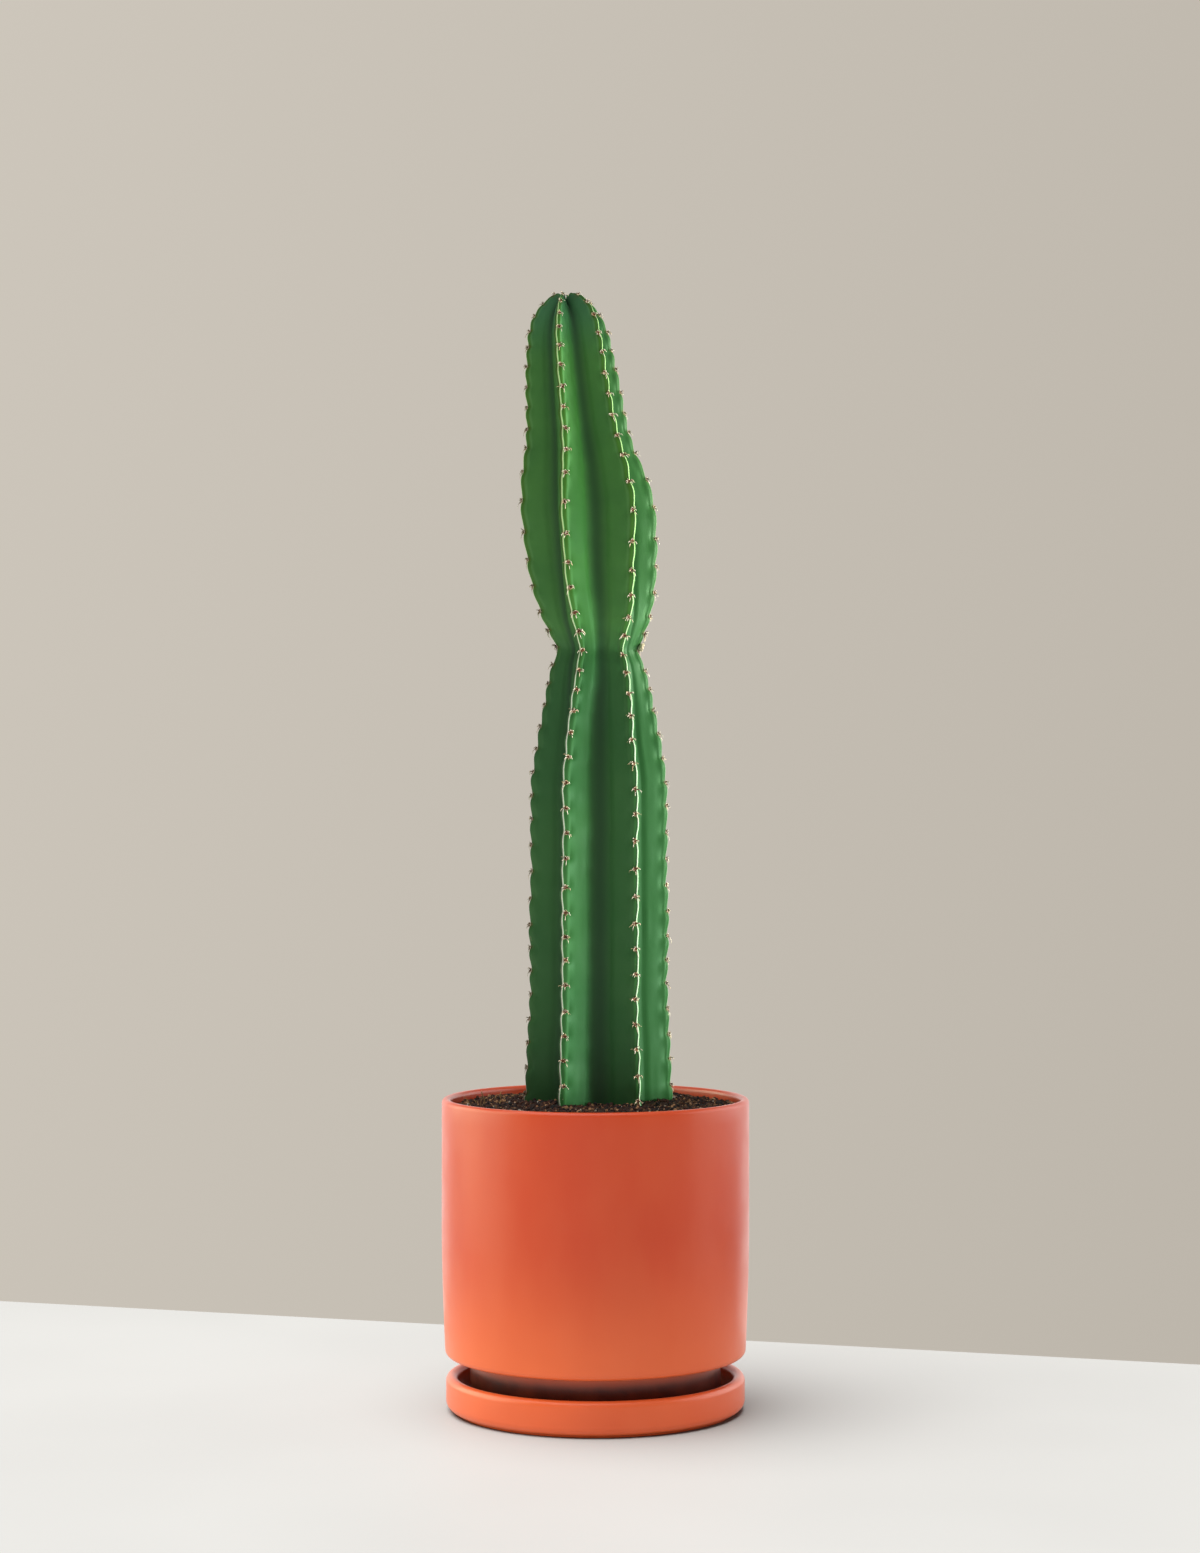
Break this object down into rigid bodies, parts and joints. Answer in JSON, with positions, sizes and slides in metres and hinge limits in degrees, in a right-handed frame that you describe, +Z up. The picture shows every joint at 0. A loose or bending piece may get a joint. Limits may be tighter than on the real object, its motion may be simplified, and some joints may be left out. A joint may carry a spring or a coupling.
{
  "type": "potted tall cactus",
  "caption": "Tall columnar cactus with deep spiny ribs and a narrow waist, planted in dark soil in a straight coral cylinder pot that stands on a matching round saucer.",
  "frame": {"origin": "on the pot's axis, at the height of the surface that the saucer stands on", "axes": "+Z up along the pot's axis, -Y the side that faces the viewer, +X the viewer's right"},
  "size_m": [0.204, 0.204, 0.742],
  "materials": {
    "cactus": "satin",
    "soil": "matte",
    "pot": "satin",
    "saucer": "satin"
  },
  "bodies": {
    "root": {"cactus_stem": "cactus", "potting_soil": "soil", "pot": "pot", "saucer": "saucer"}
  },
  "joints": []
}
